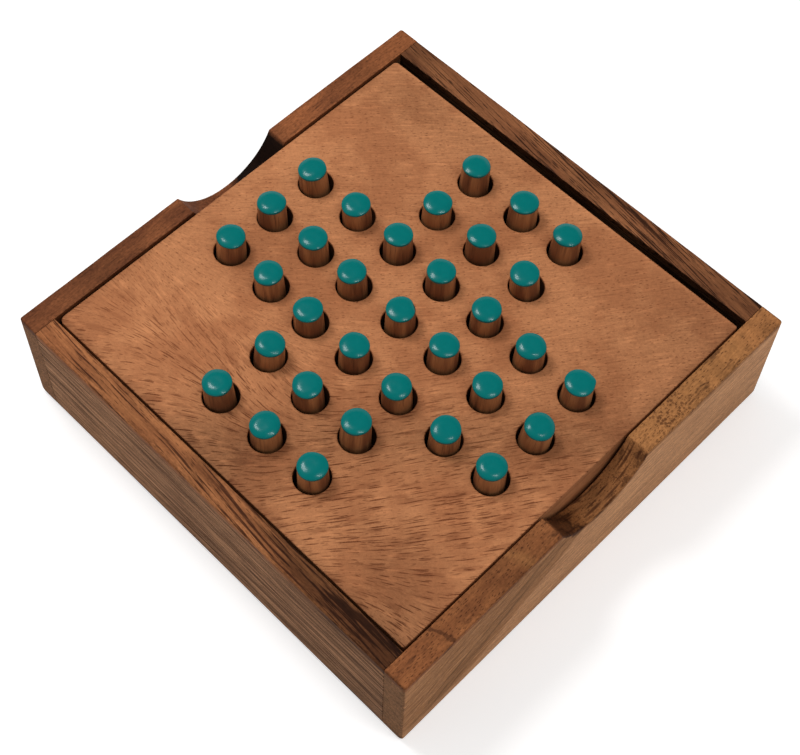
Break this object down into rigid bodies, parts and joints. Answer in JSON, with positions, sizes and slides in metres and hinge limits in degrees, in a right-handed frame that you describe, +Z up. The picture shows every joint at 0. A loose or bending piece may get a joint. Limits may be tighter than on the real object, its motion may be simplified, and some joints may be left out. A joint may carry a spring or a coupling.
{
  "type": "peg solitaire game",
  "caption": "Square wooden tray with thumb scoops, a lift-out board drilled with a cross of blind holes, and a loose painted-top peg in each hole.",
  "frame": {"origin": "middle of the tray's underside", "axes": "+Z up; the walls with the thumb scoops stand at -X and +X"},
  "size_m": [0.13, 0.1306, 0.0415],
  "materials": {
    "scooped_wall_wood": "golden to reddish brown hardwood, waxed satin",
    "plain_wall_wood": "brown hardwood with long dark streaks, waxed satin",
    "bottom_wood": "pale brown wood, sanded, unfinished",
    "board_wood": "orange-brown hardwood with fine dark pores, waxed satin",
    "painted_peg": "turned brown hardwood, its upper end dipped in glossy teal paint"
  },
  "bodies": {
    "tray": {"wall_left": "scooped_wall_wood", "wall_right": "scooped_wall_wood", "wall_front": "plain_wall_wood", "wall_back": "plain_wall_wood", "bottom_panel": "bottom_wood", "strip_left": "bottom_wood", "strip_right": "bottom_wood", "strip_front": "bottom_wood", "strip_back": "bottom_wood"},
    "board": {"peg_board": "board_wood"},
    "peg_a3_body": {"peg_a3": "painted_peg"},
    "peg_a4_body": {"peg_a4": "painted_peg"},
    "peg_a5_body": {"peg_a5": "painted_peg"},
    "peg_b3_body": {"peg_b3": "painted_peg"},
    "peg_b4_body": {"peg_b4": "painted_peg"},
    "peg_b5_body": {"peg_b5": "painted_peg"},
    "peg_c1_body": {"peg_c1": "painted_peg"},
    "peg_c2_body": {"peg_c2": "painted_peg"},
    "peg_c3_body": {"peg_c3": "painted_peg"},
    "peg_c4_body": {"peg_c4": "painted_peg"},
    "peg_c5_body": {"peg_c5": "painted_peg"},
    "peg_c6_body": {"peg_c6": "painted_peg"},
    "peg_c7_body": {"peg_c7": "painted_peg"},
    "peg_d1_body": {"peg_d1": "painted_peg"},
    "peg_d2_body": {"peg_d2": "painted_peg"},
    "peg_d3_body": {"peg_d3": "painted_peg"},
    "peg_d4_body": {"peg_d4": "painted_peg"},
    "peg_d5_body": {"peg_d5": "painted_peg"},
    "peg_d6_body": {"peg_d6": "painted_peg"},
    "peg_d7_body": {"peg_d7": "painted_peg"},
    "peg_e1_body": {"peg_e1": "painted_peg"},
    "peg_e2_body": {"peg_e2": "painted_peg"},
    "peg_e3_body": {"peg_e3": "painted_peg"},
    "peg_e4_body": {"peg_e4": "painted_peg"},
    "peg_e5_body": {"peg_e5": "painted_peg"},
    "peg_e6_body": {"peg_e6": "painted_peg"},
    "peg_e7_body": {"peg_e7": "painted_peg"},
    "peg_f3_body": {"peg_f3": "painted_peg"},
    "peg_f4_body": {"peg_f4": "painted_peg"},
    "peg_f5_body": {"peg_f5": "painted_peg"},
    "peg_g3_body": {"peg_g3": "painted_peg"},
    "peg_g4_body": {"peg_g4": "painted_peg"},
    "peg_g5_body": {"peg_g5": "painted_peg"}
  },
  "joints": [
    {"name": "board_lift", "type": "slide", "parent": "tray", "child": "board", "axis": [0, 0, 1], "range_m": [0, 0.02]},
    {"name": "peg_a3_pull", "type": "slide", "parent": "board", "child": "peg_a3_body", "axis": [0.0253, 0.0316, 0.9992], "range_m": [0, 0.012]},
    {"name": "peg_a4_pull", "type": "slide", "parent": "board", "child": "peg_a4_body", "axis": [-0.0063, 0.0126, 0.9999], "range_m": [0, 0.012]},
    {"name": "peg_a5_pull", "type": "slide", "parent": "board", "child": "peg_a5_body", "axis": [-0.0316, -0.0379, 0.9988], "range_m": [0, 0.012]},
    {"name": "peg_b3_pull", "type": "slide", "parent": "board", "child": "peg_b3_body", "axis": [-0.019, -0.0063, 0.9998], "range_m": [0, 0.012]},
    {"name": "peg_b4_pull", "type": "slide", "parent": "board", "child": "peg_b4_body", "axis": [-0.0126, 0, 0.9999], "range_m": [0, 0.012]},
    {"name": "peg_b5_pull", "type": "slide", "parent": "board", "child": "peg_b5_body", "axis": [0.0126, -0.0756, 0.9971], "range_m": [0, 0.012]},
    {"name": "peg_c1_pull", "type": "slide", "parent": "board", "child": "peg_c1_body", "axis": [-0.0316, -0.0063, 0.9995], "range_m": [0, 0.012]},
    {"name": "peg_c2_pull", "type": "slide", "parent": "board", "child": "peg_c2_body", "axis": [0.0694, 0.0252, 0.9973], "range_m": [0, 0.012]},
    {"name": "peg_c3_pull", "type": "slide", "parent": "board", "child": "peg_c3_body", "axis": [0, -0.019, 0.9998], "range_m": [0, 0.012]},
    {"name": "peg_c4_pull", "type": "slide", "parent": "board", "child": "peg_c4_body", "axis": [-0.0253, 0, 0.9997], "range_m": [0, 0.012]},
    {"name": "peg_c5_pull", "type": "slide", "parent": "board", "child": "peg_c5_body", "axis": [-0.0316, 0.0379, 0.9988], "range_m": [0, 0.012]},
    {"name": "peg_c6_pull", "type": "slide", "parent": "board", "child": "peg_c6_body", "axis": [0.0442, -0.0189, 0.9988], "range_m": [0, 0.012]},
    {"name": "peg_c7_pull", "type": "slide", "parent": "board", "child": "peg_c7_body", "axis": [-0.0126, 0.0694, 0.9975], "range_m": [0, 0.012]},
    {"name": "peg_d1_pull", "type": "slide", "parent": "board", "child": "peg_d1_body", "axis": [0.019, -0.019, 0.9996], "range_m": [0, 0.012]},
    {"name": "peg_d2_pull", "type": "slide", "parent": "board", "child": "peg_d2_body", "axis": [0, -0.019, 0.9998], "range_m": [0, 0.012]},
    {"name": "peg_d3_pull", "type": "slide", "parent": "board", "child": "peg_d3_body", "axis": [0.019, 0.019, 0.9996], "range_m": [0, 0.012]},
    {"name": "peg_d4_pull", "type": "slide", "parent": "board", "child": "peg_d4_body", "axis": [0.0126, 0, 0.9999], "range_m": [0, 0.012]},
    {"name": "peg_d5_pull", "type": "slide", "parent": "board", "child": "peg_d5_body", "axis": [-0.019, 0.019, 0.9996], "range_m": [0, 0.012]},
    {"name": "peg_d6_pull", "type": "slide", "parent": "board", "child": "peg_d6_body", "axis": [-0.0063, 0.0316, 0.9995], "range_m": [0, 0.012]},
    {"name": "peg_d7_pull", "type": "slide", "parent": "board", "child": "peg_d7_body", "axis": [-0.0063, 0.0316, 0.9995], "range_m": [0, 0.012]},
    {"name": "peg_e1_pull", "type": "slide", "parent": "board", "child": "peg_e1_body", "axis": [0.0253, -0.0316, 0.9992], "range_m": [0, 0.012]},
    {"name": "peg_e2_pull", "type": "slide", "parent": "board", "child": "peg_e2_body", "axis": [-0.0063, 0.0631, 0.998], "range_m": [0, 0.012]},
    {"name": "peg_e3_pull", "type": "slide", "parent": "board", "child": "peg_e3_body", "axis": [0.0063, -0.0379, 0.9993], "range_m": [0, 0.012]},
    {"name": "peg_e4_pull", "type": "slide", "parent": "board", "child": "peg_e4_body", "axis": [0.0126, 0.0316, 0.9994], "range_m": [0, 0.012]},
    {"name": "peg_e5_pull", "type": "slide", "parent": "board", "child": "peg_e5_body", "axis": [0.019, -0.0063, 0.9998], "range_m": [0, 0.012]},
    {"name": "peg_e6_pull", "type": "slide", "parent": "board", "child": "peg_e6_body", "axis": [-0.0315, -0.0756, 0.9966], "range_m": [0, 0.012]},
    {"name": "peg_e7_pull", "type": "slide", "parent": "board", "child": "peg_e7_body", "axis": [-0.0126, 0.0568, 0.9983], "range_m": [0, 0.012]},
    {"name": "peg_f3_pull", "type": "slide", "parent": "board", "child": "peg_f3_body", "axis": [0.0568, -0.0315, 0.9979], "range_m": [0, 0.012]},
    {"name": "peg_f4_pull", "type": "slide", "parent": "board", "child": "peg_f4_body", "axis": [0.019, -0.0126, 0.9997], "range_m": [0, 0.012]},
    {"name": "peg_f5_pull", "type": "slide", "parent": "board", "child": "peg_f5_body", "axis": [0.0379, -0.0316, 0.9988], "range_m": [0, 0.012]},
    {"name": "peg_g3_pull", "type": "slide", "parent": "board", "child": "peg_g3_body", "axis": [0.0126, 0, 0.9999], "range_m": [0, 0.012]},
    {"name": "peg_g4_pull", "type": "slide", "parent": "board", "child": "peg_g4_body", "axis": [0.0819, 0.0252, 0.9963], "range_m": [0, 0.012]},
    {"name": "peg_g5_pull", "type": "slide", "parent": "board", "child": "peg_g5_body", "axis": [0.0253, 0.0126, 0.9996], "range_m": [0, 0.012]}
  ]
}
